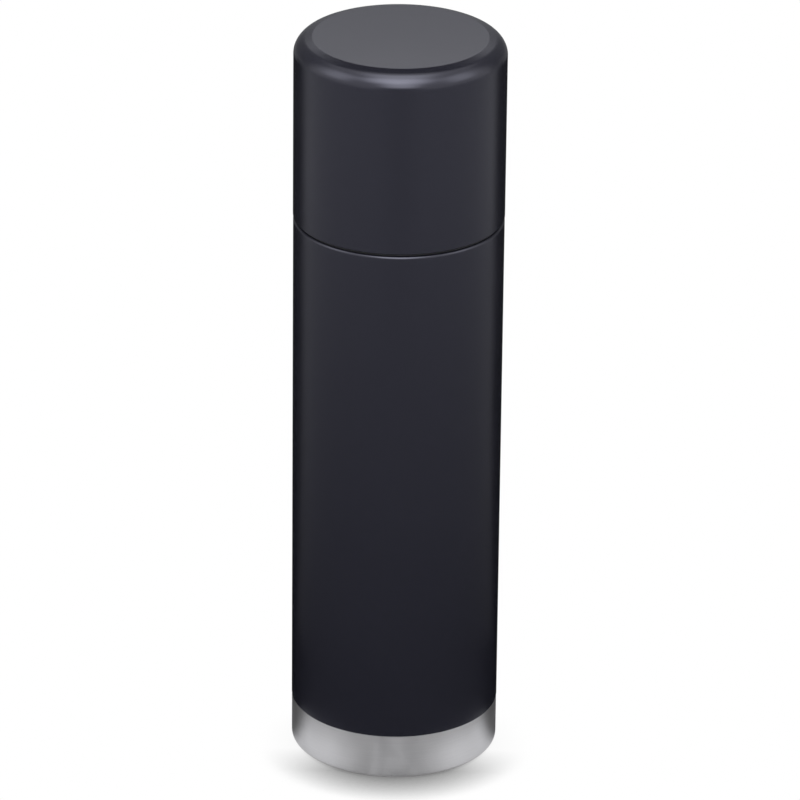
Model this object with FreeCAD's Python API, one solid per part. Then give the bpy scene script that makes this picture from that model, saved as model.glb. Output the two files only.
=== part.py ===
import FreeCAD, Part

import math
import os

# Insulated growler, in millimetres. The origin is the centre of the foot and +Z runs up the axis.
# A coated double-wall bottle with a bare steel base band, a double-wall cup screwed over its collar,
# and a stopper in its mouth under the cup, whose inner valve is turned to open it.

# Overall
total_height = 316.7
seam_height = 238.0
body_radius = 43.4
cup_overhang = 0.1
cup_radius = body_radius + cup_overhang
lip_rise = 22.0
lip_height = seam_height + lip_rise
mouth_inset = 16.9
mouth_radius = body_radius - mouth_inset
shell_wall = 0.6
liner_wall = 0.5
vacuum_gap = 3.0

# Clearances
thread_clearance = 0.4
running_gap = 0.3
hole_gap = 0.2
foil_gap = 0.05

# Bottle shell and its collar
shell_inner = body_radius - shell_wall
ledge_bend = 1.0
collar_inset = 5.4
collar_radius = body_radius - collar_inset
collar_drop = 5.5
collar_top = lip_height - collar_drop
collar_bend = 6.0
shoulder_rise = 2.8
shoulder_bend = 1.5
lip_outer = mouth_radius + liner_wall + shell_wall
lip_tuck = 0.9

# Base
band_height = 20.0
coat_wall = 0.1
band_radius = body_radius - coat_wall
base_bend = 2.0
foot_width = 6.7
foot_inner = body_radius - foot_width
foot_bend = 1.2
floor_height = 3.0
spigot_height = 8.0
port_radius = 2.0
plug_head_radius = 3.6
plug_head_height = 1.0
plate_height = 1.3
plate_wall = 0.5
plate_inset = 2.2
plate_radius = foot_inner - plate_inset
plate_bend = 1.0
getter_offset = 16.0
getter_radius = 4.0
getter_height = 2.4
holder_wall = 0.4

# Inner vessel
vessel_radius = shell_inner - vacuum_gap
vessel_bottom = 9.0
vessel_bottom_bend = 2.5
vessel_end_inset = 4.0
vessel_end_radius = vessel_radius - vessel_end_inset
vessel_shoulder_drop = 18.0
vessel_shoulder = seam_height - vessel_shoulder_drop
vessel_shoulder_bend = 14.0
vessel_neck_skirt = 6.0
vessel_joint = vessel_shoulder - vessel_neck_skirt
vessel_neck_bend = 6.0
foil_wall = 0.15

# Seam gasket
seam_gasket_wall = 0.7
seam_gasket_inset = 0.9

# Cup
cup_rim = seam_height + seam_gasket_wall + running_gap
cup_rim_bend = 1.0
cup_corner = 6.7
cup_edge_fall = 2.1
cup_edge_width = 9.5
disc_radius = cup_radius - cup_edge_width
disc_bend = 1.0
cup_gap = 2.7
cup_liner_outer = cup_radius - shell_wall - cup_gap
cup_liner_inner = cup_liner_outer - liner_wall
cup_head_room = 8.1
cup_liner_top = total_height - shell_wall - cup_head_room
cup_liner_corner = 4.0
cup_end_inset = 5.5
cup_end_radius = cup_liner_outer - cup_end_inset
slip_ring_rise = 11.4
slip_ring_base = cup_rim + slip_ring_rise
slip_ring_height = 1.7
bead_height = 1.6
bead_depth = 0.8
bead_base = slip_ring_base + slip_ring_height + bead_depth
shield_wall = 1.5
shield_hole = 12.0
shield_inset = 3.0
shield_radius = disc_radius - shield_inset

# Stopper
sleeve_clearance = 0.9
sleeve_radius = mouth_radius - sleeve_clearance
sleeve_wall = 3.3
sleeve_bore = sleeve_radius - sleeve_wall
sleeve_depth = 30.0
sleeve_bottom = lip_height - sleeve_depth
seat_wall = 3.0
seat_width = 8.3
seat_bore = sleeve_bore - seat_width
seat_top = sleeve_bottom + seat_wall
lip_gasket_wall = 1.0
flange_overhang = 3.0
flange_radius = mouth_radius + flange_overhang
flange_wall = 2.0
flange_base = lip_height + running_gap + lip_gasket_wall
flange_top = flange_base + flange_wall
seal_rise = 10.0
seal_base = sleeve_bottom + seal_rise
seal_height = 6.0
seal_groove = 1.0
seal_ribs = 3
valve_gasket_wall = 1.4
valve_gasket_base = seat_top + running_gap
core_bottom = valve_gasket_base + valve_gasket_wall + running_gap
core_clearance = 1.8
core_radius = sleeve_bore - core_clearance
core_wall = 1.8
core_bore = core_radius - core_wall
core_floor_wall = 2.0
core_floor = core_bottom + core_floor_wall
boss_clearance = 4.0
boss_radius = seat_bore - boss_clearance
boss_flange_clearance = 2.0
boss_flange_radius = seat_bore - boss_flange_clearance
boss_flange_wall = 1.5
boss_length = 3.6
boss_bottom = core_bottom - boss_length
knob_clearance = 1.0
knob_base = flange_top + knob_clearance
knob_rise = 12.0
knob_top = lip_height + knob_rise
knob_overhang = 4.5
knob_radius = core_radius + knob_overhang
knob_bend = 2.0
knob_spigot = 2.1
flute_count = 8
flute_radius = 4.5
flute_offset = 2.5
flute_centre = knob_radius + flute_offset
knob_rim = 10.0
pocket_radius = knob_radius - knob_rim
pocket_depth = 1.0
pocket_floor = knob_top - pocket_depth
cover_wall = 0.8
nut_pocket_radius = 6.5
nut_pocket_depth = 4.0
nut_pocket_floor = pocket_floor - nut_pocket_depth
stud_radius = 2.5
stud_head_radius = 6.0
stud_head_wall = 1.5
washer_wall = 0.8
nut_width = 8.0

# Threads: the cup's ridge lies half a lead above the collar's, and the valve's two ridges midway
cup_lead = 4.0
cup_ridge_rise = 4.6
cup_ridge_base = seam_height + cup_ridge_rise
cup_ridge_turns = 1.4
bottle_ridge_base = cup_ridge_base - cup_lead / 2
bottle_ridge_turns = 1.75
valve_lead = 6.0
valve_starts = 2
core_ridge_drop = 8.0
core_ridge_base = lip_height - core_ridge_drop
sleeve_ridge_base = core_ridge_base + valve_lead / valve_starts / 2
valve_ridge_turns = 0.3
ridge_width = 1.7
ridge_tip = 0.6
ridge_root = 0.25

centre = FreeCAD.Vector(0, 0, 0)
up = FreeCAD.Vector(0, 0, 1)


def with_bends(corners):
    """The corners as (radius, height, bend) triples, with no bend where none is given."""
    return [corner if len(corner) == 3 else (*corner, 0) for corner in corners]


def offset_path(corners, distance):
    """The corners of the path that runs the given distance to the left of an open path."""
    normals = []
    for (r0, z0, _), (r1, z1, _) in zip(corners, corners[1:]):
        length = math.hypot(r1 - r0, z1 - z0)
        normals.append(((z0 - z1) / length, (r1 - r0) / length))
    result = []
    for i, (r, z, bend) in enumerate(corners):
        before = normals[max(i - 1, 0)]
        after = normals[min(i, len(normals) - 1)]
        share = distance / (1 + before[0] * after[0] + before[1] * after[1])
        turn = before[0] * after[1] - before[1] * after[0]
        new_bend = max(bend - math.copysign(distance, turn), 0) if bend else 0
        result.append((r + share * (before[0] + after[0]), z + share * (before[1] + after[1]), new_bend))
    return result


def lathe(corners):
    """Solid turned about the Z axis from a closed outline of (radius, height, optional bend)."""
    corners = with_bends(corners)
    points = [FreeCAD.Vector(r, 0, z) for r, z, _ in corners]
    edges = []
    stretches = []
    for i, point in enumerate(points):
        bend = corners[i][2]
        if not bend:
            stretches.append((point, point))
            continue
        to_last = (points[i - 1] - point).normalize()
        to_next = (points[(i + 1) % len(points)] - point).normalize()
        half = to_last.getAngle(to_next) / 2
        first = point + to_last * (bend / math.tan(half))
        last = point + to_next * (bend / math.tan(half))
        middle = point + (to_last + to_next).normalize() * (bend / math.sin(half) - bend)
        stretches.append((first, last))
        edges.append(Part.Arc(first, middle, last).toShape())
    for i, (_, start) in enumerate(stretches):
        end = stretches[(i + 1) % len(stretches)][0]
        if start.distanceToPoint(end) > 1e-6:
            edges.append(Part.makeLine(start, end))
    outline = Part.Wire(Part.__sortEdges__(edges))
    return Part.Face(outline).revolve(centre, up, 360)


def sheet(corners, wall):
    """Sheet metal turned about the Z axis from an open path, with its thickness to the left."""
    corners = with_bends(corners)
    return lathe(corners + offset_path(corners, wall)[::-1])


def ring(inner, outer, low, high, bend=0):
    """Flat or tall ring about the Z axis, a disc if inner is 0, with its outer edges rounded."""
    return lathe([(inner, low), (outer, low, bend), (outer, high, bend), (inner, high)])


def thread_ridge(root_radius, depth, lead, base, turns, start_turn=0):
    """Helical ridge that stands depth out of root_radius, or inwards if depth is negative."""
    root = root_radius - math.copysign(ridge_root, depth)
    crest = root_radius + depth
    section = Part.makePolygon([
        FreeCAD.Vector(root, 0, -ridge_width / 2),
        FreeCAD.Vector(crest, 0, -ridge_tip / 2),
        FreeCAD.Vector(crest, 0, ridge_tip / 2),
        FreeCAD.Vector(root, 0, ridge_width / 2),
        FreeCAD.Vector(root, 0, -ridge_width / 2),
    ])
    helix = Part.makeHelix(lead, lead * turns, root_radius)
    ridge = Part.Wire(helix).makePipeShell([section], True, True)
    ridge.rotate(centre, up, 360 * start_turn)
    ridge.translate(FreeCAD.Vector(0, 0, base))
    return ridge


def threaded(body, ridges):
    """The turned body with its thread ridges joined to it as one solid."""
    return body.fuse(ridges).removeSplitter().Solids[0]


# Bottle

def outer_shell():
    shell = sheet([
        (body_radius, band_height),
        (body_radius, seam_height, ledge_bend),
        (collar_radius, seam_height, ledge_bend),
        (collar_radius, collar_top, collar_bend),
        (lip_outer, collar_top + shoulder_rise, shoulder_bend),
        (lip_outer, lip_height - lip_tuck),
    ], shell_wall)
    depth = cup_liner_inner - collar_radius - thread_clearance
    ridge = thread_ridge(collar_radius, depth, cup_lead, bottle_ridge_base, bottle_ridge_turns)
    return threaded(shell, [ridge])


def base_cup():
    spigot_inner = shell_inner - shell_wall
    floor_edge = foot_inner - foot_bend
    return lathe([
        (shell_inner, band_height + spigot_height),
        (shell_inner, band_height),
        (band_radius, band_height),
        (band_radius, 0, base_bend),
        (foot_inner, 0, foot_bend),
        (floor_edge, floor_height, foot_bend),
        (port_radius, floor_height),
        (port_radius, floor_height + shell_wall),
        (floor_edge + shell_wall / 2, floor_height + shell_wall, foot_bend),
        (foot_inner + shell_wall, shell_wall, foot_bend / 2),
        (spigot_inner, shell_wall, base_bend - shell_wall),
        (spigot_inner, band_height + spigot_height),
    ])


def base_plate():
    return sheet([(0, plate_height), (plate_radius, plate_height, plate_bend), (plate_radius, floor_height)],
                 plate_wall)


def vacuum_plug():
    return lathe([
        (0, floor_height - plug_head_height),
        (plug_head_radius, floor_height - plug_head_height, plug_head_height / 2),
        (plug_head_radius, floor_height),
        (port_radius, floor_height),
        (port_radius, floor_height + shell_wall),
        (0, floor_height + shell_wall),
    ])


def getter_holder():
    base = floor_height + shell_wall
    rim = getter_radius + holder_wall
    holder = sheet([(0, base), (rim, base, holder_wall), (rim, base + getter_height)], holder_wall)
    holder.translate(FreeCAD.Vector(getter_offset, 0, 0))
    return holder


def getter():
    base = floor_height + shell_wall + holder_wall
    return Part.makeCylinder(getter_radius, getter_height, FreeCAD.Vector(getter_offset, 0, base))


def inner_vessel():
    return sheet([
        (vessel_end_radius, vessel_bottom),
        (vessel_radius, vessel_bottom, vessel_bottom_bend),
        (vessel_radius, vessel_joint),
    ], liner_wall)


def vessel_end():
    return ring(0, vessel_end_radius, vessel_bottom, vessel_bottom + liner_wall)


def vessel_neck():
    neck = mouth_radius + liner_wall
    return sheet([
        (vessel_radius, vessel_joint),
        (vessel_radius, vessel_shoulder, vessel_shoulder_bend),
        (neck, vessel_shoulder + vessel_radius - neck, vessel_neck_bend),
        (neck, lip_height - liner_wall, running_gap),
        (lip_outer, lip_height - liner_wall),
    ], liner_wall)


def radiation_foil():
    inner = vessel_radius + foil_gap
    low = vessel_bottom + vessel_bottom_bend
    return ring(inner, inner + foil_wall, low, vessel_joint)


def seam_gasket():
    return ring(collar_radius + ledge_bend, body_radius - seam_gasket_inset,
                seam_height, seam_height + seam_gasket_wall, seam_gasket_wall / 4)


# Cup

def cup_outer_shell():
    return sheet([
        (cup_liner_outer, cup_rim),
        (cup_radius, cup_rim, cup_rim_bend),
        (cup_radius, total_height - cup_edge_fall, cup_corner),
        (disc_radius, total_height, disc_bend),
        (0, total_height),
    ], shell_wall)


def cup_liner():
    liner = lathe([
        (cup_liner_inner, cup_rim),
        (cup_liner_outer, cup_rim),
        (cup_liner_outer, cup_liner_top, cup_liner_corner),
        (cup_end_radius, cup_liner_top),
        (cup_end_radius, cup_liner_top - liner_wall),
        (cup_liner_inner, cup_liner_top - liner_wall, cup_liner_corner - liner_wall),
        (cup_liner_inner, bead_base + bead_height),
        (cup_liner_inner - bead_depth, bead_base + bead_height / 2, bead_depth / 2),
        (cup_liner_inner, bead_base),
    ])
    depth = collar_radius + thread_clearance - cup_liner_inner
    ridge = thread_ridge(cup_liner_inner, depth, cup_lead, cup_ridge_base, cup_ridge_turns)
    return threaded(liner, [ridge])


def cup_end():
    return ring(0, cup_end_radius, cup_liner_top - liner_wall, cup_liner_top)


def cup_getter():
    return Part.makeCylinder(getter_radius, getter_height, FreeCAD.Vector(0, 0, cup_liner_top))


def cup_shield():
    top = total_height - shell_wall - running_gap
    return ring(shield_hole, shield_radius, top - shield_wall, top)


def cup_slip_ring():
    return ring(collar_radius + running_gap, cup_liner_inner - running_gap,
                slip_ring_base, slip_ring_base + slip_ring_height, running_gap)


# Stopper

def valve_ridges(root_radius, depth, base):
    """The ridges of one half of the valve's thread, one for each start."""
    return [thread_ridge(root_radius, depth, valve_lead, base, valve_ridge_turns, start / valve_starts)
            for start in range(valve_starts)]


def valve_ridge_depth():
    return sleeve_bore - core_radius - thread_clearance


def stopper_sleeve():
    groove = sleeve_radius - seal_groove
    sleeve = lathe([
        (seat_bore, sleeve_bottom),
        (sleeve_radius, sleeve_bottom, seat_wall / 3),
        (sleeve_radius, seal_base),
        (groove, seal_base),
        (groove, seal_base + seal_height),
        (sleeve_radius, seal_base + seal_height),
        (sleeve_radius, flange_base),
        (flange_radius, flange_base),
        (flange_radius, flange_top, flange_wall / 2),
        (sleeve_bore, flange_top, flange_wall / 4),
        (sleeve_bore, seat_top),
        (seat_bore, seat_top, seat_wall / 3),
    ])
    return threaded(sleeve, valve_ridges(sleeve_bore, -valve_ridge_depth(), sleeve_ridge_base))


def sleeve_seal():
    inner = sleeve_radius - seal_groove
    crest = mouth_radius - running_gap
    rib = seal_height / seal_ribs
    corners = [(inner, seal_base)]
    for i in range(seal_ribs):
        low = seal_base + i * rib
        corners += [(sleeve_radius, low), (crest, low + rib / 2, rib / 4)]
    corners += [(sleeve_radius, seal_base + seal_height), (inner, seal_base + seal_height)]
    return lathe(corners)


def lip_gasket():
    return ring(sleeve_radius, flange_radius - lip_gasket_wall,
                flange_base - lip_gasket_wall, flange_base, lip_gasket_wall / 4)


def valve_gasket():
    return ring(boss_radius + running_gap, (seat_bore + sleeve_bore) / 2,
                valve_gasket_base, valve_gasket_base + valve_gasket_wall, valve_gasket_wall / 4)


def valve_core():
    core = lathe([
        (0, boss_bottom),
        (boss_flange_radius, boss_bottom, boss_flange_wall / 3),
        (boss_flange_radius, boss_bottom + boss_flange_wall, boss_flange_wall / 3),
        (boss_radius, boss_bottom + boss_flange_wall),
        (boss_radius, core_bottom),
        (core_radius, core_bottom, 1),
        (core_radius, knob_base),
        (core_bore, knob_base),
        (core_bore, core_floor),
        (0, core_floor),
    ])
    return threaded(core, valve_ridges(core_radius, valve_ridge_depth(), core_ridge_base))


def stopper_stud():
    top = pocket_floor - hole_gap
    return lathe([
        (0, core_floor),
        (stud_head_radius, core_floor),
        (stud_head_radius, core_floor + stud_head_wall, stud_head_wall / 3),
        (stud_radius, core_floor + stud_head_wall),
        (stud_radius, top, stud_radius / 5),
        (0, top),
    ])


def stopper_foam():
    return ring(stud_radius, core_bore, core_floor + stud_head_wall, knob_base - knob_spigot)


def stopper_knob():
    knob = lathe([
        (stud_radius, knob_base - knob_spigot),
        (core_bore, knob_base - knob_spigot),
        (core_bore, knob_base),
        (knob_radius, knob_base, knob_bend / 2),
        (knob_radius, knob_top, knob_bend),
        (pocket_radius, knob_top, knob_bend / 4),
        (pocket_radius, pocket_floor),
        (nut_pocket_radius, pocket_floor),
        (nut_pocket_radius, nut_pocket_floor),
        (stud_radius, nut_pocket_floor),
    ])
    flute = Part.makeCylinder(flute_radius, knob_top - knob_base, FreeCAD.Vector(flute_centre, 0, knob_base))
    flutes = []
    for i in range(flute_count):
        cutter = flute.copy()
        cutter.rotate(centre, up, 360 * (i + 0.5) / flute_count)
        flutes.append(cutter)
    return knob.cut(flutes).Solids[0]


def stopper_washer():
    outer = nut_pocket_radius - 2 * hole_gap
    return ring(stud_radius, outer, nut_pocket_floor, nut_pocket_floor + washer_wall)


def stopper_nut():
    low = nut_pocket_floor + washer_wall
    high = pocket_floor - 2 * hole_gap
    reach = nut_width / 2 / math.cos(math.pi / 6)
    corners = []
    for i in range(7):
        angle = math.pi / 3 * i
        corners.append(FreeCAD.Vector(reach * math.cos(angle), reach * math.sin(angle), low))
    blank = Part.Face(Part.makePolygon(corners)).extrude(up * (high - low))
    return blank.cut(Part.makeCylinder(stud_radius, high - low, up * low)).Solids[0]


def stopper_cover():
    return ring(0, pocket_radius - hole_gap / 2, pocket_floor, pocket_floor + cover_wall, cover_wall / 4)


pieces = [
    outer_shell, base_cup, base_plate, vacuum_plug, getter_holder, getter, inner_vessel, vessel_end,
    vessel_neck, radiation_foil, seam_gasket, cup_outer_shell, cup_liner, cup_end, cup_getter, cup_shield,
    cup_slip_ring, stopper_sleeve, sleeve_seal, lip_gasket, valve_gasket, valve_core, stopper_stud,
    stopper_foam, stopper_knob, stopper_washer, stopper_nut, stopper_cover,
]

os.makedirs("parts", exist_ok=True)
for piece in pieces:
    shape = piece()
    shape.exportStep(f"parts/{piece.__name__}.step")
    print(piece.__name__, shape.ShapeType, shape.isValid(), round(shape.Volume, 1))
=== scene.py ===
import math

import bmesh
import bpy
from mathutils import Matrix, Vector


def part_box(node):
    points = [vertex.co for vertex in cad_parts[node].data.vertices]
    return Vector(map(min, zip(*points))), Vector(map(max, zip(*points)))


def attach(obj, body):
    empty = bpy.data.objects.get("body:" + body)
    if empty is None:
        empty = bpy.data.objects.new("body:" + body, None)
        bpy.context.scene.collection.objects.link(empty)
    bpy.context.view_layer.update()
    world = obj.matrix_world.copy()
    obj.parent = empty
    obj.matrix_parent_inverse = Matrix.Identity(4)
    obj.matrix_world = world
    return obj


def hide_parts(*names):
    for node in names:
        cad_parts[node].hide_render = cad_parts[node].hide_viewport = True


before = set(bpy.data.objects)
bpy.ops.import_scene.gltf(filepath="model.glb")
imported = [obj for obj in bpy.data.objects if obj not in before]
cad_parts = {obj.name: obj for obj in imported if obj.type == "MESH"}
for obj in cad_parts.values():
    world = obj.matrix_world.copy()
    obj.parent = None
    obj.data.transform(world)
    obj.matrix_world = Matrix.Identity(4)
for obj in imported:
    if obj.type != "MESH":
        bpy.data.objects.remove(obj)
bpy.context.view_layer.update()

# ---------------------------------------------------------------------------------------------
# Coated body
# The outer tube of the bottle: drawn stainless sheet, powder coated matte black from the bare
# band up to the ledge under the cup, where the coat rolls over a small rounded edge.

mm = 0.001


def extent(node):
    """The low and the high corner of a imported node's box, in millimetres."""
    return [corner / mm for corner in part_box(node)]


sheet_wall = 0.6
body_radius = 43.4
body_inner = body_radius - sheet_wall
band_top = extent("outer_shell")[0].z
seam_height = extent("seam_gasket")[0].z
collar_root = 38.0
thread_depth = 1.3
coat_end = collar_root + thread_depth
coat_build = 0.1


def turned(name, outline, steps=192, arc_steps=8):
    """A closed outline of (radius, height, bend) in millimetres, turned about the bottle's axis."""
    shape = bmesh.new()
    corners = [shape.verts.new((r * mm, 0, z * mm)) for r, z, _ in outline]
    shape.faces.new(corners)
    for i, (corner, (_, _, bend)) in enumerate(zip(corners, outline)):
        if bend:
            here = Vector(outline[i][:2])
            to_last = Vector(outline[i - 1][:2]) - here
            to_next = Vector(outline[(i + 1) % len(outline)][:2]) - here
            tangent = bend / math.tan(to_last.angle(to_next) / 2)
            bmesh.ops.bevel(shape, geom=[corner], offset=tangent * mm, offset_type="OFFSET",
                            affect="VERTICES", segments=arc_steps, profile=0.5, material=-1)
    bmesh.ops.delete(shape, geom=shape.faces[:], context="FACES_ONLY")
    on_axis = [edge for edge in shape.edges if max(abs(vert.co.x) for vert in edge.verts) < 1e-7]
    bmesh.ops.delete(shape, geom=on_axis, context="EDGES")
    bmesh.ops.spin(shape, geom=shape.verts[:] + shape.edges[:], cent=(0, 0, 0), axis=(0, 0, 1),
                   angle=2 * math.pi, steps=steps, use_merge=True)
    bmesh.ops.remove_doubles(shape, verts=shape.verts, dist=1e-7)
    bmesh.ops.recalc_face_normals(shape, faces=shape.faces)
    return finished(name, shape)


def finished(name, shape, crease=35):
    """The bmesh as an object at the origin, smooth but for edges sharper than crease degrees."""
    mesh = bpy.data.meshes.new(name)
    shape.to_mesh(mesh)
    shape.free()
    mesh.shade_smooth()
    mesh.set_sharp_from_angle(angle=math.radians(crease))
    piece = bpy.data.objects.new(name, mesh)
    bpy.context.scene.collection.objects.link(piece)
    even = piece.modifiers.new("even_normals", "WEIGHTED_NORMAL")
    even.keep_sharp = True
    return piece


def colour(code):
    """An sRGB hex colour as linear RGBA."""
    parts = [int(code[i:i + 2], 16) / 255 for i in (1, 3, 5)]
    return [c / 12.92 if c <= 0.04045 else ((c + 0.055) / 1.055) ** 2.4 for c in parts] + [1]


def add(nodes, kind, inputs=None, **settings):
    """A node with its settings, and its inputs set to values or linked to other nodes' outputs."""
    made = nodes.new(kind)
    for name, value in settings.items():
        setattr(made, name, value)
    for name, value in (inputs or {}).items():
        if isinstance(value, bpy.types.NodeSocket):
            nodes.id_data.links.new(value, made.inputs[name])
        else:
            made.inputs[name].default_value = value
    return made


def material(name):
    """An empty node material, and its nodes."""
    made = bpy.data.materials.new(name)
    made.use_nodes = True
    made.node_tree.nodes.clear()
    return made, made.node_tree.nodes


def surface(nodes, shader):
    """Sends a shader to the material's output."""
    add(nodes, "ShaderNodeOutputMaterial", {"Surface": shader})


def powder_coat():
    """Polyester powder coat, sprayed and baked: matte, with a fine orange peel and dry grain.

    The grain of such a coat is finer; it is drawn at 0.45 mm, as coarse as it needs to show.
    """
    made, nodes = material("powder_coat_matte_black")
    place = add(nodes, "ShaderNodeTexCoord").outputs["Object"]
    peel = add(nodes, "ShaderNodeTexNoise", {
        "Vector": place, "Scale": 1 / (1.6 * mm), "Detail": 2.0})
    grain = add(nodes, "ShaderNodeTexNoise", {
        "Vector": place, "Scale": 1 / (0.45 * mm), "Detail": 3.0})
    cloud = add(nodes, "ShaderNodeTexNoise", {
        "Vector": place, "Scale": 1 / (38 * mm), "Detail": 3.0})
    tone = add(nodes, "ShaderNodeValToRGB", {"Fac": grain.outputs["Fac"]})
    tone.color_ramp.elements[0].position = 0.30
    tone.color_ramp.elements[0].color = colour("#15151b")
    tone.color_ramp.elements[1].position = 0.72
    tone.color_ramp.elements[1].color = colour("#1a1a21")
    gloss = add(nodes, "ShaderNodeMapRange", {
        "Value": cloud.outputs["Fac"], "From Min": 0.3, "From Max": 0.7,
        "To Min": 0.22, "To Max": 0.26})
    waves = add(nodes, "ShaderNodeBump", {
        "Height": peel.outputs["Fac"], "Strength": 0.10, "Distance": 0.03 * mm})
    pits = add(nodes, "ShaderNodeBump", {
        "Height": grain.outputs["Fac"], "Strength": 0.22, "Distance": 0.03 * mm,
        "Normal": waves.outputs["Normal"]})
    coat = add(nodes, "ShaderNodeBsdfPrincipled", {
        "Base Color": tone.outputs["Color"], "Roughness": gloss.outputs["Result"], "IOR": 1.5,
        "Specular IOR Level": 0.6, "Specular Tint": colour("#e7e7f8"),
        "Normal": pits.outputs["Normal"]})
    surface(nodes, coat.outputs["BSDF"])
    return made


coat_finish = powder_coat()
coated_body = turned("coated_body", [
    (body_inner, band_top, 0),
    (body_radius, band_top, coat_build),
    (body_radius, seam_height, 1.2),
    (coat_end, seam_height, 0),
    (coat_end, seam_height - sheet_wall, 0),
    (body_inner, seam_height - sheet_wall, 0.4),
])
coated_body.data.materials.append(coat_finish)
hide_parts("outer_shell")
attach(coated_body, "bottle")

# ---------------------------------------------------------------------------------------------
# Collar
# The top of the same tube, left bare under the cup: a straight collar with the cup's thread rolled
# into it, and a pressed shoulder that closes in on the mouth. Stainless, satin from the die.

lip_top = extent("vessel_neck")[1].z
lip_radius = 27.6
mouth_rise = 2.8
under_lip = lip_top - 0.9
collar_top = lip_top - 5.5
ridge_width = 1.7
ridge_tip = 0.6
ridge_root = 0.25
cup_lead = 4.0
cup_ridge_base = seam_height + 4.6
collar_ridge_turns = 1.75


def thread_ridge(name, root, depth, lead, base, turns, starts=1, steps=120):
    """Helical ridges on a radius in millimetres, faded out at both ends, right-handed."""
    shape = bmesh.new()
    inner = root - math.copysign(ridge_root, depth)
    section = ((inner, -ridge_width / 2), (root + depth, -ridge_tip / 2),
               (root + depth, ridge_tip / 2), (inner, ridge_width / 2))
    count = round(steps * turns)
    for start in range(starts):
        corners = [shape.verts.new((r * mm, 0, (base + z) * mm)) for r, z in section]
        edges = [shape.edges.new((corners[i - 1], corners[i])) for i in range(4)]
        bmesh.ops.rotate(shape, verts=corners, cent=(0, 0, 0),
                         matrix=Matrix.Rotation(2 * math.pi * start / starts, 3, "Z"))
        made = bmesh.ops.spin(shape, geom=corners + edges, cent=(0, 0, 0), axis=(0, 0, 1),
                              dvec=(0, 0, lead * turns * mm / count), angle=2 * math.pi * turns,
                              steps=count)
        last = [item for item in made["geom_last"] if isinstance(item, bmesh.types.BMVert)]
        for end in (corners, last):
            for vert in end:
                vert.co.xy *= inner * mm / vert.co.xy.length
        shape.faces.new(corners)
        shape.faces.new(sorted(last, key=lambda vert: vert.co.z))
    bmesh.ops.recalc_face_normals(shape, faces=shape.faces)
    return finished(name, shape, crease=60)


def satin_steel(name, code, rough, spacing):
    """Stainless sheet with the faint rings that spinning or polishing on its axis leaves.

    Such rings lie closer; they are drawn at the given spacing in millimetres, so that they show.
    """
    made, nodes = material(name)
    place = add(nodes, "ShaderNodeTexCoord").outputs["Object"]
    squeezed = add(nodes, "ShaderNodeMapping", {"Vector": place, "Scale": (0.05, 0.05, 1)})
    rings = add(nodes, "ShaderNodeTexNoise", {
        "Vector": squeezed.outputs["Vector"], "Scale": 1 / (spacing * mm), "Detail": 3.0})
    smears = add(nodes, "ShaderNodeTexNoise", {
        "Vector": place, "Scale": 1 / (14 * mm), "Detail": 3.0})
    tone = add(nodes, "ShaderNodeMix", {
        "Factor": smears.outputs["Fac"], 6: colour(code), 7: colour("#b9b9bb")}, data_type="RGBA")
    gloss = add(nodes, "ShaderNodeMapRange", {
        "Value": rings.outputs["Fac"], "From Min": 0.3, "From Max": 0.7,
        "To Min": rough - 0.05, "To Max": rough + 0.05})
    lines = add(nodes, "ShaderNodeBump", {
        "Height": rings.outputs["Fac"], "Strength": 0.12, "Distance": 0.02 * mm})
    steel = add(nodes, "ShaderNodeBsdfPrincipled", {
        "Base Color": tone.outputs[2], "Metallic": 1.0, "Roughness": gloss.outputs["Result"],
        "Normal": lines.outputs["Normal"]})
    surface(nodes, steel.outputs["BSDF"])
    return made


collar_steel = satin_steel("stainless_satin_pressed", "#a9a9ab", 0.30, 0.7)
collar = turned("bare_collar", [
    (coat_end, seam_height - sheet_wall, 0),
    (coat_end, seam_height, 0),
    (collar_root, seam_height, 1.0),
    (collar_root, collar_top, 6.0),
    (lip_radius, collar_top + mouth_rise, 1.5),
    (lip_radius, under_lip, 0),
    (lip_radius - sheet_wall, under_lip, 0),
    (lip_radius - sheet_wall, collar_top + mouth_rise - 0.5, 1.5),
    (collar_root - sheet_wall, collar_top - sheet_wall, 5.4),
    (collar_root - sheet_wall, seam_height - sheet_wall, 0),
])
collar_thread = thread_ridge("collar_thread", collar_root, thread_depth, cup_lead,
                             cup_ridge_base - cup_lead / 2, collar_ridge_turns)
for piece in (collar, collar_thread):
    piece.data.materials.append(collar_steel)
    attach(piece, "bottle")

# ---------------------------------------------------------------------------------------------
# Base band and underside
# The foot of the bottle is left uncoated: a drawn stainless cup, welded into the tube and brushed
# on a lathe, so its grain runs round it. Under it a thin cover disc hides the evacuation port.

base_high = extent("base_cup")[1]
plate_low, plate_high = extent("base_plate")
band_radius = body_radius - coat_build
foot_inner = band_radius - 6.6
recess_top = 3.0
port_radius = 2.0
plate_edge = plate_high.x
plate_wall = 0.5
plate_boss = 6.0
plate_rim = plate_edge - 5.5
plate_dish = 0.25


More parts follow.
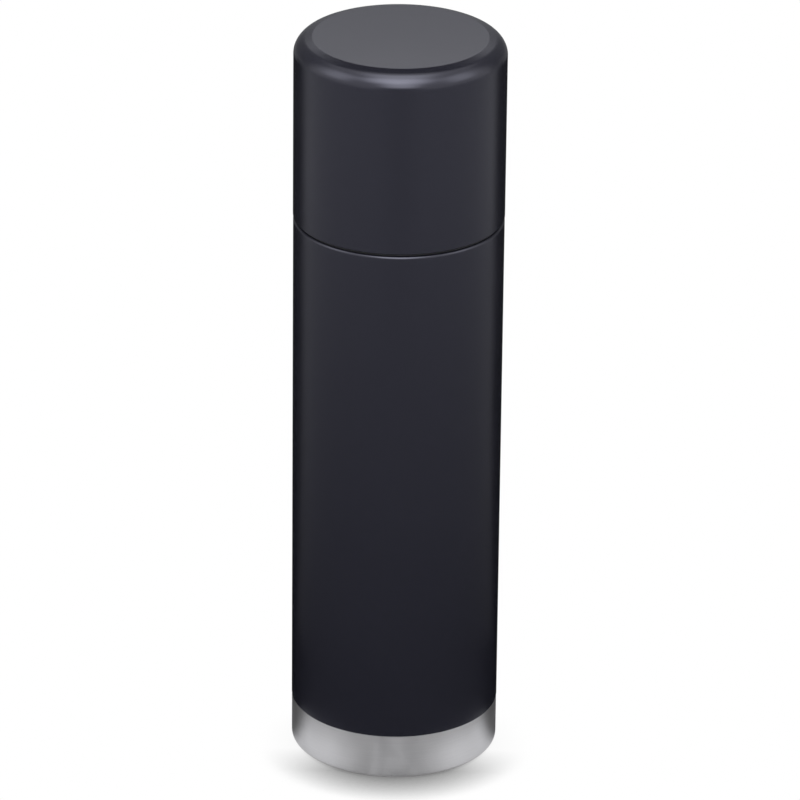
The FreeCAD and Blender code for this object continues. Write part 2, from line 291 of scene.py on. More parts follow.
def brushed_stainless():
    """Stainless brushed in a lathe: grain round the axis, which draws highlights out up and down.

    Such a grain is finer; it is drawn at 0.35 mm, as coarse as it needs to show.
    """
    made, nodes = material("stainless_lathe_brushed")
    place = add(nodes, "ShaderNodeTexCoord").outputs["Object"]
    squeezed = add(nodes, "ShaderNodeMapping", {"Vector": place, "Scale": (0.02, 0.02, 1)})
    grain = add(nodes, "ShaderNodeTexNoise", {
        "Vector": squeezed.outputs["Vector"], "Scale": 1 / (0.35 * mm),
        "Detail": 4.0, "Roughness": 0.7})
    streaks = add(nodes, "ShaderNodeTexNoise", {
        "Vector": place, "Scale": 1 / (9 * mm), "Detail": 2.0})
    tone = add(nodes, "ShaderNodeValToRGB", {"Fac": grain.outputs["Fac"]})
    tone.color_ramp.elements[0].position = 0.25
    tone.color_ramp.elements[0].color = colour("#c2c1c1")
    tone.color_ramp.elements[1].position = 0.75
    tone.color_ramp.elements[1].color = colour("#cbcaca")
    gloss = add(nodes, "ShaderNodeMapRange", {
        "Value": streaks.outputs["Fac"], "From Min": 0.3, "From Max": 0.7,
        "To Min": 0.36, "To Max": 0.42})
    lines = add(nodes, "ShaderNodeBump", {
        "Height": grain.outputs["Fac"], "Strength": 0.10, "Distance": 0.02 * mm})
    around = add(nodes, "ShaderNodeTangent", direction_type="RADIAL", axis="Z")
    steel = add(nodes, "ShaderNodeBsdfPrincipled", {
        "Base Color": tone.outputs["Color"], "Metallic": 1.0, "Roughness": gloss.outputs["Result"],
        "Anisotropic": 0.75, "Anisotropic Rotation": 0.25,
        "Normal": lines.outputs["Normal"], "Tangent": around.outputs["Tangent"]})
    surface(nodes, steel.outputs["BSDF"])
    return made


band_finish = brushed_stainless()
base_band = turned("base_band", [
    (body_inner, base_high.z, 0),
    (body_inner, band_top, 0),
    (band_radius, band_top, 0),
    (band_radius, 0, 2.0),
    (foot_inner, 0, 1.2),
    (foot_inner - 1.2, recess_top, 1.2),
    (port_radius, recess_top, 0),
    (port_radius, recess_top + sheet_wall, 0),
    (foot_inner - 0.9, recess_top + sheet_wall, 1.2),
    (foot_inner + sheet_wall, sheet_wall, 0.6),
    (body_inner - sheet_wall, sheet_wall, 1.4),
    (body_inner - sheet_wall, base_high.z, 0),
])
cover_plate = turned("base_cover_plate", [
    (0, plate_low.z, 0),
    (plate_boss, plate_low.z, 0.5),
    (plate_boss + 1, plate_low.z + plate_dish, 0.5),
    (plate_rim - 1, plate_low.z + plate_dish, 0.5),
    (plate_rim, plate_low.z, 0.5),
    (plate_edge, plate_low.z, 1.0),
    (plate_edge, plate_high.z, 0),
    (plate_edge - plate_wall, plate_high.z, 0),
    (plate_edge - plate_wall, plate_low.z + plate_wall, 0.5),
    (plate_rim, plate_low.z + plate_wall, 0.5),
    (plate_rim - 1, plate_low.z + plate_wall + plate_dish, 0.5),
    (plate_boss + 1, plate_low.z + plate_wall + plate_dish, 0.5),
    (plate_boss, plate_low.z + plate_wall, 0.5),
    (0, plate_low.z + plate_wall, 0),
])
for piece, node in ((base_band, "base_cup"), (cover_plate, "base_plate")):
    piece.data.materials.append(band_finish)
    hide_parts(node)
    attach(piece, "bottle")

# ---------------------------------------------------------------------------------------------
# Inner vessel
# The bottle that holds the drink: a tube curled in at its foot, a flat end welded into the curl and
# a drawn neck, all electropolished. It meets the outer tube only at the rolled lip of the mouth.

vessel_low, vessel_high = extent("inner_vessel")
end_low, end_high = extent("vessel_end")
liner_wall = end_high.z - end_low.z
vessel_radius = vessel_high.x
vessel_inner = vessel_radius - liner_wall
neck_radius = lip_radius - sheet_wall
neck_inner = neck_radius - liner_wall
shoulder = vessel_high.z + 6
neck_start = shoulder + vessel_radius - neck_radius

vessel_steel = satin_steel("stainless_electropolished", "#b4b4b6", 0.20, 1.4)
vessel_tube = turned("inner_vessel_tube", [
    (end_high.x, vessel_low.z, 0),
    (vessel_radius, vessel_low.z, 2.5),
    (vessel_radius, vessel_high.z, 0),
    (vessel_inner, vessel_high.z, 0),
    (vessel_inner, vessel_low.z + liner_wall, 2.0),
    (end_high.x, vessel_low.z + liner_wall, 0),
])
vessel_end = turned("inner_vessel_end", [
    (0, end_low.z, 0),
    (end_high.x, end_low.z, 0),
    (end_high.x, end_high.z, 0.1),
    (0, end_high.z, 0),
])
vessel_neck = turned("inner_vessel_neck", [
    (vessel_radius, vessel_high.z, 0),
    (vessel_radius, shoulder, 14.0),
    (neck_radius, neck_start, 6.0),
    (neck_radius, lip_top - liner_wall, 0.3),
    (lip_radius, lip_top - liner_wall, 0),
    (lip_radius, lip_top, 0.2),
    (neck_inner, lip_top, 0.8),
    (neck_inner, neck_start - 0.2, 6.5),
    (vessel_inner, shoulder - 0.2, 13.5),
    (vessel_inner, vessel_high.z, 0),
])
for piece, node in ((vessel_tube, "inner_vessel"), (vessel_end, "vessel_end"),
                    (vessel_neck, "vessel_neck")):
    piece.data.materials.append(vessel_steel)
    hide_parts(node)
    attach(piece, "bottle")

# ---------------------------------------------------------------------------------------------
# Vacuum fittings
# What keeps the vacuum, sealed between the walls: a fused glass bead in the port, getter tablets
# of pressed powder in a steel holder, a bright foil round the vessel and a foil disc in the cup.


def dress(finish, *names):
    """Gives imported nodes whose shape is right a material."""
    for name in names:
        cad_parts[name].material_slots[0].material = finish


def sealing_glass():
    """Grey solder glass, fused in a furnace: glossy, with a few trapped bubbles."""
    made, nodes = material("solder_glass_grey")
    place = add(nodes, "ShaderNodeTexCoord").outputs["Object"]
    bubbles = add(nodes, "ShaderNodeTexVoronoi", {"Vector": place, "Scale": 1 / (0.5 * mm)})
    swirl = add(nodes, "ShaderNodeTexNoise", {
        "Vector": place, "Scale": 1 / (1.5 * mm), "Detail": 3.0})
    tone = add(nodes, "ShaderNodeMix", {
        "Factor": swirl.outputs["Fac"], 6: colour("#4a4e55"), 7: colour("#5f646c")}, data_type="RGBA")
    dents = add(nodes, "ShaderNodeBump", {
        "Height": bubbles.outputs["Distance"], "Strength": 0.2, "Distance": 0.05 * mm})
    glass = add(nodes, "ShaderNodeBsdfPrincipled", {
        "Base Color": tone.outputs[2], "Roughness": 0.12, "IOR": 1.6,
        "Normal": dents.outputs["Normal"]})
    surface(nodes, glass.outputs["BSDF"])
    return made


def getter_powder():
    """Zirconium powder pressed to a tablet: dark, granular and slightly metallic."""
    made, nodes = material("getter_pressed_powder")
    place = add(nodes, "ShaderNodeTexCoord").outputs["Object"]
    grains = add(nodes, "ShaderNodeTexVoronoi", {"Vector": place, "Scale": 1 / (0.25 * mm)})
    tone = add(nodes, "ShaderNodeMix", {
        "Factor": grains.outputs["Color"], 6: colour("#3c3c3f"), 7: colour("#6a6a6c")},
        data_type="RGBA")
    bumps = add(nodes, "ShaderNodeBump", {
        "Height": grains.outputs["Distance"], "Strength": 0.5, "Distance": 0.05 * mm})
    powder = add(nodes, "ShaderNodeBsdfPrincipled", {
        "Base Color": tone.outputs[2], "Metallic": 0.6, "Roughness": 0.7,
        "Normal": bumps.outputs["Normal"]})
    surface(nodes, powder.outputs["BSDF"])
    return made


def bright_foil():
    """Aluminium foil wrapped by hand: mirror bright, with soft wrinkles."""
    made, nodes = material("aluminium_foil_wrinkled")
    place = add(nodes, "ShaderNodeTexCoord").outputs["Object"]
    folds = add(nodes, "ShaderNodeTexVoronoi", {"Vector": place, "Scale": 1 / (11 * mm)},
                feature="DISTANCE_TO_EDGE")
    rolling = add(nodes, "ShaderNodeTexNoise", {
        "Vector": place, "Scale": 1 / (3 * mm), "Detail": 3.0})
    gloss = add(nodes, "ShaderNodeMapRange", {
        "Value": rolling.outputs["Fac"], "To Min": 0.08, "To Max": 0.22})
    tone = add(nodes, "ShaderNodeMix", {
        "Factor": rolling.outputs["Fac"], 6: colour("#dfdfe1"), 7: colour("#e9e9ea")},
        data_type="RGBA")
    wrinkles = add(nodes, "ShaderNodeBump", {
        "Height": folds.outputs["Distance"], "Strength": 0.3, "Distance": 0.4 * mm})
    foil = add(nodes, "ShaderNodeBsdfPrincipled", {
        "Base Color": tone.outputs[2], "Metallic": 1.0, "Roughness": gloss.outputs["Result"],
        "Normal": wrinkles.outputs["Normal"]})
    surface(nodes, foil.outputs["BSDF"])
    return made


dress(sealing_glass(), "vacuum_plug")
dress(getter_powder(), "getter", "cup_getter")
dress(collar_steel, "getter_holder")
dress(bright_foil(), "radiation_foil", "cup_shield")

# ---------------------------------------------------------------------------------------------
# Seam gasket and slip ring
# Moulded silicone rings, black with a soft dusty sheen: one on the ledge under the cup, one that
# rides in the cup above its thread.

ring_bend = 0.3


def silicone():
    """Compression-moulded black silicone: dull, slightly dusty, with a faint moulding texture."""
    made, nodes = material("silicone_black")
    place = add(nodes, "ShaderNodeTexCoord").outputs["Object"]
    skin = add(nodes, "ShaderNodeTexNoise", {
        "Vector": place, "Scale": 1 / (0.9 * mm), "Detail": 3.0})
    dust = add(nodes, "ShaderNodeTexNoise", {
        "Vector": place, "Scale": 1 / (7 * mm), "Detail": 4.0})
    tone = add(nodes, "ShaderNodeMix", {
        "Factor": dust.outputs["Fac"], 6: colour("#0d0d0e"), 7: colour("#19191a")}, data_type="RGBA")
    bumps = add(nodes, "ShaderNodeBump", {
        "Height": skin.outputs["Fac"], "Strength": 0.15, "Distance": 0.05 * mm})
    gloss = add(nodes, "ShaderNodeMapRange", {
        "Value": dust.outputs["Fac"], "To Min": 0.55, "To Max": 0.72})
    rubber = add(nodes, "ShaderNodeBsdfPrincipled", {
        "Base Color": tone.outputs[2], "Roughness": gloss.outputs["Result"], "IOR": 1.41,
        "Sheen Weight": 0.05, "Normal": bumps.outputs["Normal"]})
    surface(nodes, rubber.outputs["BSDF"])
    return made


def rubber_ring(name, node, inner, bend):
    """A moulded ring that fills a node's box from an inner radius, its corners rounded."""
    low, high = extent(node)
    piece = turned(name, [
        (inner, low.z, bend / 2),
        (high.x, low.z, bend),
        (high.x, high.z, bend),
        (inner, high.z, bend / 2),
    ], arc_steps=5)
    piece.data.materials.append(silicone_black)
    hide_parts(node)
    return piece


silicone_black = silicone()
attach(rubber_ring("seam_gasket_ring", "seam_gasket", collar_root + 1, ring_bend), "bottle")
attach(rubber_ring("slip_ring", "cup_slip_ring", collar_root + 0.3, ring_bend), "cup_ring")

# ---------------------------------------------------------------------------------------------
# Cup
# The cap doubles as a cup: a coated outer shell, flat on top with a sloped and rounded edge, and a
# polished liner with the thread in its mouth. The two are welded round the rim.

cup_end_low, cup_end_high = extent("cup_end")
cup_radius = 43.5
cup_rim, cup_top = (corner.z for corner in extent("cup_outer_shell"))
edge_fall = 2.1
edge_bend = 6.7
disc_radius = cup_radius - 7.6
cup_gap = 2.7
liner_outer = cup_radius - sheet_wall - cup_gap
liner_inner = liner_outer - liner_wall
liner_top = extent("cup_liner")[1].z
bead_height = 0.8
bead_base = extent("cup_slip_ring")[1].z + 0.8
cup_ridge_turns = 1.4

cup_shell = turned("coated_cup", [
    (liner_outer, cup_rim, 0),
    (cup_radius, cup_rim, 0.4),
    (cup_radius, cup_top - edge_fall, edge_bend),
    (disc_radius, cup_top, 1.0),
    (0, cup_top, 0),
    (0, cup_top - sheet_wall, 0),
    (disc_radius, cup_top - sheet_wall, 0.4),
    (cup_radius - sheet_wall, cup_top - sheet_wall - edge_fall, edge_bend - sheet_wall),
    (cup_radius - sheet_wall, cup_rim + sheet_wall, 0.4),
    (liner_outer, cup_rim + sheet_wall, 0),
], arc_steps=12)
cup_shell.data.materials.append(coat_finish)
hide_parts("cup_outer_shell")
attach(cup_shell, "cup")

cup_liner = turned("cup_liner_tube", [
    (liner_inner, cup_rim, 0),
    (liner_outer, cup_rim, 0),
    (liner_outer, liner_top, 4.0),
    (cup_end_high.x, liner_top, 0),
    (cup_end_high.x, liner_top - liner_wall, 0),
    (liner_inner, liner_top - liner_wall, 3.5),
    (liner_inner, bead_base + 2 * bead_height, 0.3),
    (liner_inner - bead_height, bead_base + bead_height, 0.4),
    (liner_inner, bead_base, 0.3),
])
cup_end = turned("cup_liner_end", [
    (0, cup_end_low.z, 0),
    (cup_end_high.x, cup_end_low.z, 0.1),
    (cup_end_high.x, cup_end_high.z, 0),
    (0, cup_end_high.z, 0),
])
cup_thread = thread_ridge("cup_thread", liner_inner, -thread_depth, cup_lead, cup_ridge_base,
                          cup_ridge_turns)
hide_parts("cup_liner")
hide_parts("cup_end")
for piece in (cup_liner, cup_end, cup_thread):
    piece.data.materials.append(vessel_steel)
    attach(piece, "cup")

# ---------------------------------------------------------------------------------------------
# Stopper
# An injection-moulded polypropylene sleeve pushed into the neck, with a screwed valve core in it.
# The core's knob is fluted for the fingers and has a lathe-brushed steel disc pressed in its top.

sleeve_low, sleeve_high = extent("stopper_sleeve")
core_low, core_high = extent("valve_core")
knob_low, knob_high = extent("stopper_knob")
seal_low, seal_high = extent("sleeve_seal")
lid_low, lid_high = extent("stopper_cover")
sleeve_radius = 25.6
sleeve_bore = 22.3
seat_bore = 14.0
flange_radius = sleeve_high.x
flange_base = sleeve_high.z - 2
sleeve_floor = sleeve_low.z + 3
seal_groove = 1.0
core_radius = 20.5
core_bore = 18.7
core_bottom = core_low.z + 3.6
core_floor = core_bottom + 2
seat_disc_radius = 12.0
seat_disc_top = core_low.z + 1.5
stem_radius = 10.0
valve_lead = 6.0
valve_starts = 2
valve_ridge_turns = 0.3
valve_ridge_depth = sleeve_bore - core_radius - 0.4
valve_ridge_base = lip_top - 8
stud_hole = 2.5
nut_pocket = 6.5
nut_pocket_floor = lid_low.z - 4
knob_radius = 25.0
knob_base = core_high.z
knob_top = knob_high.z
pocket_radius = lid_high.x + 0.1
flute_radius = 4.5
flute_centre = knob_radius + 2.5
flute_count = 8


def moulded_plastic():
    """Black polypropylene out of a spark-eroded mould: even matte grain, faint flow marks.

    Such a grain is finer; it is drawn at 0.22 mm, as coarse as it needs to show.
    """
    made, nodes = material("polypropylene_black_grained")
    place = add(nodes, "ShaderNodeTexCoord").outputs["Object"]
    sparks = add(nodes, "ShaderNodeTexNoise", {
        "Vector": place, "Scale": 1 / (0.22 * mm), "Detail": 4.0})
    flow = add(nodes, "ShaderNodeTexNoise", {
        "Vector": place, "Scale": 1 / (12 * mm), "Detail": 2.0, "Distortion": 1.5})
    tone = add(nodes, "ShaderNodeMix", {
        "Factor": flow.outputs["Fac"], 6: colour("#1c1c1e"), 7: colour("#242427")}, data_type="RGBA")
    gloss = add(nodes, "ShaderNodeMapRange", {
        "Value": sparks.outputs["Fac"], "From Min": 0.3, "From Max": 0.7,
        "To Min": 0.42, "To Max": 0.58})
    grain = add(nodes, "ShaderNodeBump", {
        "Height": sparks.outputs["Fac"], "Strength": 0.3, "Distance": 0.03 * mm})
    plastic = add(nodes, "ShaderNodeBsdfPrincipled", {
        "Base Color": tone.outputs[2], "Roughness": gloss.outputs["Result"], "IOR": 1.49,
        "Normal": grain.outputs["Normal"]})
    surface(nodes, plastic.outputs["BSDF"])
    return made


def turned_bolt_steel():
    """Plated fastener steel: bright, with fine turning rings."""
    return satin_steel("fastener_steel_plated", "#bdbdc0", 0.22, 0.3)


def closed_cell_foam():
    """Cream insulating foam: chalky, with small closed cells."""
    made, nodes = material("foam_cream_closed_cell")
    place = add(nodes, "ShaderNodeTexCoord").outputs["Object"]
    cells = add(nodes, "ShaderNodeTexVoronoi", {"Vector": place, "Scale": 1 / (0.8 * mm)})
    tone = add(nodes, "ShaderNodeMix", {
        "Factor": cells.outputs["Distance"], 6: colour("#e6dfcd"), 7: colour("#cfc6b0")},
        data_type="RGBA")
    pores = add(nodes, "ShaderNodeBump", {
        "Height": cells.outputs["Distance"], "Strength": 0.6, "Distance": 0.2 * mm})
    foam = add(nodes, "ShaderNodeBsdfPrincipled", {
        "Base Color": tone.outputs[2], "Roughness": 0.95, "Normal": pores.outputs["Normal"]})
    surface(nodes, foam.outputs["BSDF"])
    return made


def fluted(piece):
    """Presses the finger flutes into a turned knob, wherever it reaches into their cylinders."""
    for vert in piece.data.vertices:
        angle = math.atan2(vert.co.y, vert.co.x) * flute_count / (2 * math.pi)
        aside = (angle - math.floor(angle) - 0.5) * 2 * math.pi / flute_count
        across = flute_centre * math.sin(aside)
        if abs(across) < flute_radius:
            reach = flute_centre * math.cos(aside) - math.sqrt(flute_radius ** 2 - across ** 2)
            here = vert.co.xy.length / mm
            if here > reach:
                vert.co.xy *= reach / here


plastic_black = moulded_plastic()
sleeve = turned("stopper_sleeve_moulding", [
    (seat_bore, sleeve_low.z, 0.3),
    (sleeve_radius, sleeve_low.z, 1.0),
    (sleeve_radius, seal_low.z, 0.2),
    (sleeve_radius - seal_groove, seal_low.z, 0),
    (sleeve_radius - seal_groove, seal_high.z, 0),
    (sleeve_radius, seal_high.z, 0.2),
    (sleeve_radius, flange_base, 0),
    (flange_radius, flange_base, 0.3),
    (flange_radius, sleeve_high.z, 1.0),
    (sleeve_bore, sleeve_high.z, 0.5),
    (sleeve_bore, sleeve_floor, 0),
    (seat_bore, sleeve_floor, 1.0),
])
sleeve_thread = thread_ridge("stopper_sleeve_thread", sleeve_bore, -valve_ridge_depth, valve_lead,
                             valve_ridge_base + valve_lead / valve_starts / 2, valve_ridge_turns,
                             valve_starts)
core = turned("valve_core_moulding", [
    (0, core_low.z, 0),
    (seat_disc_radius, core_low.z, 0.5),
    (seat_disc_radius, seat_disc_top, 0.5),
    (stem_radius, seat_disc_top, 0),
    (stem_radius, core_bottom, 0),
    (core_radius, core_bottom, 1.0),
    (core_radius, core_high.z, 0),
    (core_bore, core_high.z, 0),
    (core_bore, core_floor, 0),
    (0, core_floor, 0),
])
core_thread = thread_ridge("valve_core_thread", core_radius, valve_ridge_depth, valve_lead,
                           valve_ridge_base, valve_ridge_turns, valve_starts)
knob = turned("stopper_knob_moulding", [
    (stud_hole, knob_low.z, 0),
    (core_bore, knob_low.z, 0),
    (core_bore, knob_base, 0),
    (knob_radius, knob_base, 1.0),
    (knob_radius, knob_top, 2.0),
    (pocket_radius, knob_top, 0.5),
    (pocket_radius, lid_low.z, 0),
    (nut_pocket, lid_low.z, 0),
    (nut_pocket, nut_pocket_floor, 0),
    (stud_hole, nut_pocket_floor, 0),
], steps=384)
fluted(knob)
for piece, node, body in ((sleeve, "stopper_sleeve", "stopper"), (sleeve_thread, None, "stopper"),
                          (core, "valve_core", "valve"), (core_thread, None, "valve"),
                          (knob, "stopper_knob", "valve")):
    piece.data.materials.append(plastic_black)
    if node:
        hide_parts(node)
    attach(piece, body)

rib_count = 3
rib = (seal_high.z - seal_low.z) / rib_count
seal_outline = [(sleeve_radius - seal_groove, seal_low.z, 0)]
for i in range(rib_count):
    foot = seal_low.z + i * rib
    seal_outline += [(sleeve_radius, foot, 0.1), (seal_high.x, foot + rib / 2, 0.4)]
seal_outline += [(sleeve_radius, seal_high.z, 0), (sleeve_radius - seal_groove, seal_high.z, 0)]
sleeve_seal = turned("ribbed_sleeve_seal", seal_outline, arc_steps=5)
sleeve_seal.data.materials.append(silicone_black)
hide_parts("sleeve_seal")
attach(sleeve_seal, "stopper")
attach(rubber_ring("lip_gasket_ring", "lip_gasket", sleeve_radius, ring_bend), "stopper")
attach(rubber_ring("valve_gasket_ring", "valve_gasket", stem_radius + 0.3, 0.4), "valve_seal")

lid_rim = lid_high.x - 1.6
lid_dish = 0.25
lid = turned("stopper_lid_disc", [
    (0, lid_low.z, 0),
    (lid_high.x, lid_low.z, 0),
    (lid_high.x, lid_high.z, 0.25),
    (lid_rim, lid_high.z, 0.2),
    (lid_rim - 0.4, lid_high.z - lid_dish, 0.2),
    (0, lid_high.z - lid_dish, 0),
], arc_steps=5)
lid.data.materials.append(band_finish)
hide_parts("stopper_cover")
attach(lid, "valve")

dress(turned_bolt_steel(), "stopper_stud", "stopper_washer", "stopper_nut")
dress(closed_cell_foam(), "stopper_foam")

# ---------------------------------------------------------------------------------------------
# Stage: floor, light and camera
# A sheet of pale paper in a white room, softboxes in front and at both sides, and bent cards and
# dark flags that only reflections meet: they shape what shines on the coat and on the bare steel.

cool_white = (0.95, 0.96, 1.0, 1.0)


def background_seen(nodes):
    """1 for rays that meet the background as the eye does: camera, glossy and transmission."""
    paths = add(nodes, "ShaderNodeLightPath")
    eye = add(nodes, "ShaderNodeMath", {
        0: paths.outputs["Is Camera Ray"], 1: paths.outputs["Is Glossy Ray"]}, operation="MAXIMUM")
    return add(nodes, "ShaderNodeMath", {
        0: eye.outputs[0], 1: paths.outputs["Is Transmission Ray"]}, operation="MAXIMUM").outputs[0]


def floor_paper_and_painted_shadow():
    """Pale paper, white to the eye and in reflections, with a soft painted shadow before the foot.

    The painted shadow dims the glow by how near the bottle stands, weighted towards the front.
    """
    made, nodes = material("pale_paper_painted_shadow")
    # Painted shadow: occlusion close to the foot, leaned towards the bottle, sets how dark it is.
    lean = add(nodes, "ShaderNodeCombineXYZ", {"X": 0.0, "Y": 0.85, "Z": 0.53})
    nearness = add(nodes, "ShaderNodeAmbientOcclusion", {
        "Distance": 24 * mm, "Normal": lean.outputs["Vector"]}, samples=16)
    painted_contact_shadow = add(nodes, "ShaderNodeMapRange", {
        "Value": nearness.outputs["AO"], "From Min": 0.33, "From Max": 0.89,
        "To Min": 0.27, "To Max": 1.0})
    place = add(nodes, "ShaderNodeTexCoord").outputs["Object"]
    apart = add(nodes, "ShaderNodeSeparateXYZ", {0: place})
    # The painted shadow is kept in front of the foot and weakened to its sides and behind it.
    ahead = add(nodes, "ShaderNodeMapRange", {
        "Value": apart.outputs["Y"], "From Min": -36 * mm, "From Max": -16 * mm,
        "To Min": 1.0, "To Max": 0.12})
    level = add(nodes, "ShaderNodeMix", {
        "Factor": ahead.outputs["Result"], 2: 1.0, 3: painted_contact_shadow.outputs["Result"]})
    paper = add(nodes, "ShaderNodeBsdfDiffuse", {"Color": colour("#e2e2e4")})
    # Rays that see the background meet a glow that carries the painted shadow; others meet paper.
    shade = add(nodes, "ShaderNodeEmission", {"Color": (1, 1, 1, 1), "Strength": level.outputs[0]})
    mixed = add(nodes, "ShaderNodeMixShader", {
        0: background_seen(nodes), 1: paper.outputs[0], 2: shade.outputs[0]})
    surface(nodes, mixed.outputs[0])
    return made


floor_shape = bmesh.new()
bmesh.ops.create_grid(floor_shape, x_segments=1, y_segments=1, size=6)
floor = finished("floor", floor_shape)
floor.data.materials.append(floor_paper_and_painted_shadow())


def direction(azimuth, elevation):
    """Unit vector; azimuth 0 is in front of the bottle and positive to the right, in degrees."""
    a = math.radians(azimuth)
    e = math.radians(elevation)
    return Vector((math.sin(a) * math.cos(e), -math.cos(a) * math.cos(e), math.sin(e)))


def faded(nodes, across, soft):
    """1 inside a 0-to-1 square of coordinates, easing to 0 over a given width at its edges."""
    sides = []
    for axis, width in zip("XY", soft):
        edge = add(nodes, "ShaderNodeMath", {0: across.outputs[axis], 1: 0.5}, operation="PINGPONG")
        side = add(nodes, "ShaderNodeMapRange", {
            "Value": edge.outputs[0], "From Min": -0.001, "From Max": width},
            interpolation_type="SMOOTHSTEP")
        sides.append(side.outputs["Result"])
    return add(nodes, "ShaderNodeMath", {0: sides[0], 1: sides[1]}, operation="MULTIPLY").outputs[0]


lamp_aim = Vector((0, 0, 0.25))


def softbox(name, azimuth, elevation, distance, width, height, radiance):
    """An area lamp aimed at the bottle that fades at its edges, with angles in degrees, the rest in
    metres and the radiance that its middle has."""
    lamp = bpy.data.lights.new(name, "AREA")
    lamp.shape = "RECTANGLE"
    lamp.size = width
    lamp.size_y = height
    lamp.energy = radiance * math.pi * width * height
    lamp.use_nodes = True
    nodes = lamp.node_tree.nodes
    nodes.clear()
    spot = add(nodes, "ShaderNodeNewGeometry").outputs["Parametric"]
    across = add(nodes, "ShaderNodeSeparateXYZ", {0: spot})
    glow = add(nodes, "ShaderNodeEmission", {
        "Color": cool_white, "Strength": faded(nodes, across, (0.4, 0.3))})
    add(nodes, "ShaderNodeOutputLight", {"Surface": glow.outputs[0]})
    holder = bpy.data.objects.new(name, lamp)
    bpy.context.scene.collection.objects.link(holder)
    away = direction(azimuth, elevation)
    holder.location = lamp_aim + distance * away
    holder.rotation_euler = away.to_track_quat("Z", "Y").to_euler()
    holder.visible_camera = False


softbox("key_softbox", -3, 53, 1.7, 2.6, 1.15, 4.8)
softbox("key_core", -3, 47, 1.6, 0.8, 0.6, 1.8)
softbox("low_softbox", 0, 26, 1.9, 1.8, 1.2, 3.6)
softbox("overhead_softbox", 0, 80, 1.8, 1.9, 1.6, 3.2)
softbox("left_softbox", -76, 33, 1.8, 1.5, 1.6, 1.9)
softbox("right_softbox", 72, 33, 1.8, 1.5, 1.5, 1.8)


def card(name, tones, azimuths, near, far, low, high, soft=(0.0, 0.0)):
    """A card bent round the bottle that only reflections meet.

    It spans two azimuths in degrees and goes from the near radius and low height to the far radius
    and high height, in metres, and from the first tone to the second. Its edges fade over the
    shares of its width and length that soft gives.
    """
    made, nodes = material(name)
    spot = add(nodes, "ShaderNodeUVMap", uv_map="UVMap").outputs["UV"]
    across = add(nodes, "ShaderNodeSeparateXYZ", {0: spot})
    tone = add(nodes, "ShaderNodeMapRange", {
        "Value": across.outputs["Y"], "To Min": tones[0], "To Max": tones[1]})
    glow = add(nodes, "ShaderNodeEmission", {
        "Color": cool_white, "Strength": tone.outputs["Result"]})
    clear = add(nodes, "ShaderNodeBsdfTransparent")
    mixed = add(nodes, "ShaderNodeMixShader", {
        0: faded(nodes, across, soft), 1: clear.outputs[0], 2: glow.outputs[0]})
    surface(nodes, mixed.outputs[0])
    shape = bmesh.new()
    shape.loops.layers.uv.new("UVMap")
    bmesh.ops.create_grid(shape, x_segments=72, y_segments=1, size=0.5, calc_uvs=True)
    for vert in shape.verts:
        along, up = vert.co.x + 0.5, vert.co.y + 0.5
        turn = azimuths[0] + along * (azimuths[1] - azimuths[0])
        vert.co = direction(turn, 0) * (near + up * (far - near))
        vert.co.z = low + up * (high - low)
    piece = finished(name, shape)
    piece.data.materials.append(made)
    piece.visible_camera = False
    piece.visible_diffuse = False
    piece.visible_shadow = False


# Round the foot: what the bare band shows at its lower edge.
card("foot_card", (0.75, 1.55), (-180, 180), 0.0440, 0.071, 0.0002, 0.0002)
card("foot_card_front", (0.05, 0.52), (-54, 50), 0.0442, 0.071, 0.0003, 0.0003, (0.45, 0.0))
card("foot_card_streak", (0.25, 0.8), (-18, -7), 0.0443, 0.071, 0.00035, 0.00035, (0.5, 0.0))
card("foot_card_back", (0.05, 0.12), (72, 288), 0.0442, 0.066, 0.0003, 0.0003, (0.10, 0.0))

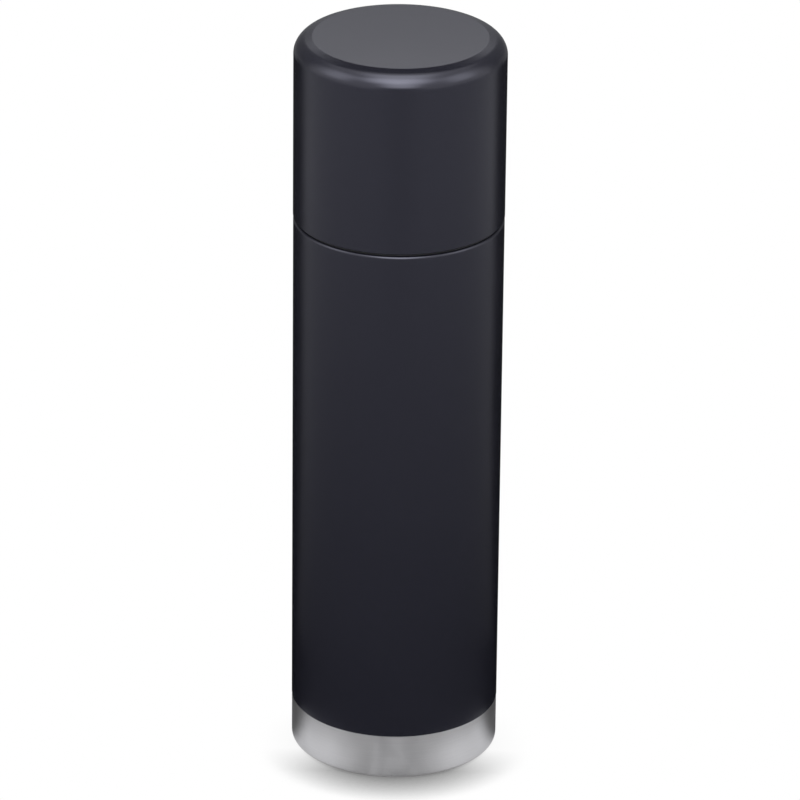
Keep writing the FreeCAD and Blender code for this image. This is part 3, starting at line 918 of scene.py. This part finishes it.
# On the table: what the coat and the band show of the floor further out.
card("table_card_near", (0.0, 0.44), (-180, 180), 0.069, 0.65, 0.0004, 0.0004, (0.0, 0.004))
card("table_card_front", (0.53, 0.60), (-180, 180), 0.62, 4.0, 0.0005, 0.0005, (0.0, 0.01))
card("table_card_ahead", (0.38, 0.44), (-26, 26), 0.5, 4.0, 0.0007, 0.0007, (0.5, 0.05))
card("near_card_back", (0.0, 0.0), (80, 280), 0.062, 0.13, 0.0006, 0.0006, (0.10, 0.0))
card("table_card_back", (0.0, 0.10), (112, 248), 0.125, 4.0, 0.0007, 0.0007, (0.14, 0.0))

# Standing behind the bottle and at its sides, and one in front under the camera.
card("left_flag", (0.12, 0.30), (-172, -98), 0.9, 0.9, 0.005, 1.45, (0.25, 0.25))
card("right_flag", (0.12, 0.30), (98, 172), 0.9, 0.9, 0.005, 1.45, (0.25, 0.25))
card("back_low_flag", (0.26, 0.36), (135, 225), 0.95, 0.95, 0.005, 0.72, (0.1, 0.10))
card("back_glow", (0.45, 2.3), (140, 220), 0.96, 0.96, 0.62, 0.95, (0.1, 0.02))
card("back_high_flag", (0.0, 0.0), (135, 225), 0.94, 0.94, 0.88, 2.3, (0.1, 0.1))
card("camera_gap", (0.10, 0.3), (-30, 30), 2.1, 2.1, 0.005, 0.8, (0.3, 0.2))

world = bpy.data.worlds.new("pale_room")
bpy.context.scene.world = world
world.use_nodes = True
world_nodes = world.node_tree.nodes
world_nodes.clear()
level = add(world_nodes, "ShaderNodeMapRange", {
    "Value": background_seen(world_nodes), "To Min": 0.55, "To Max": 1.0})
glow = add(world_nodes, "ShaderNodeBackground", {
    "Color": (1, 1, 1, 1), "Strength": level.outputs["Result"]})
add(world_nodes, "ShaderNodeOutputWorld", {"Surface": glow.outputs[0]})

camera_data = bpy.data.cameras.new("camera")
camera_data.sensor_width = 36
camera_data.lens = 280.38
camera = bpy.data.objects.new("camera", camera_data)
bpy.context.scene.collection.objects.link(camera)
camera_tilt = math.radians(24.452)
camera_roll = math.radians(0.603)
camera_target = Vector((0.00123, 0, 0.15501))
camera_distance = 2.5886
camera_away = Vector((0, -math.cos(camera_tilt), math.sin(camera_tilt)))
camera.matrix_world = (
    Matrix.Translation(camera_target + camera_distance * camera_away)
    @ Matrix.Rotation(math.pi / 2 - camera_tilt, 4, "X")
    @ Matrix.Rotation(camera_roll, 4, "Z"))
bpy.context.scene.camera = camera
bpy.context.scene.view_settings.view_transform = "Standard"
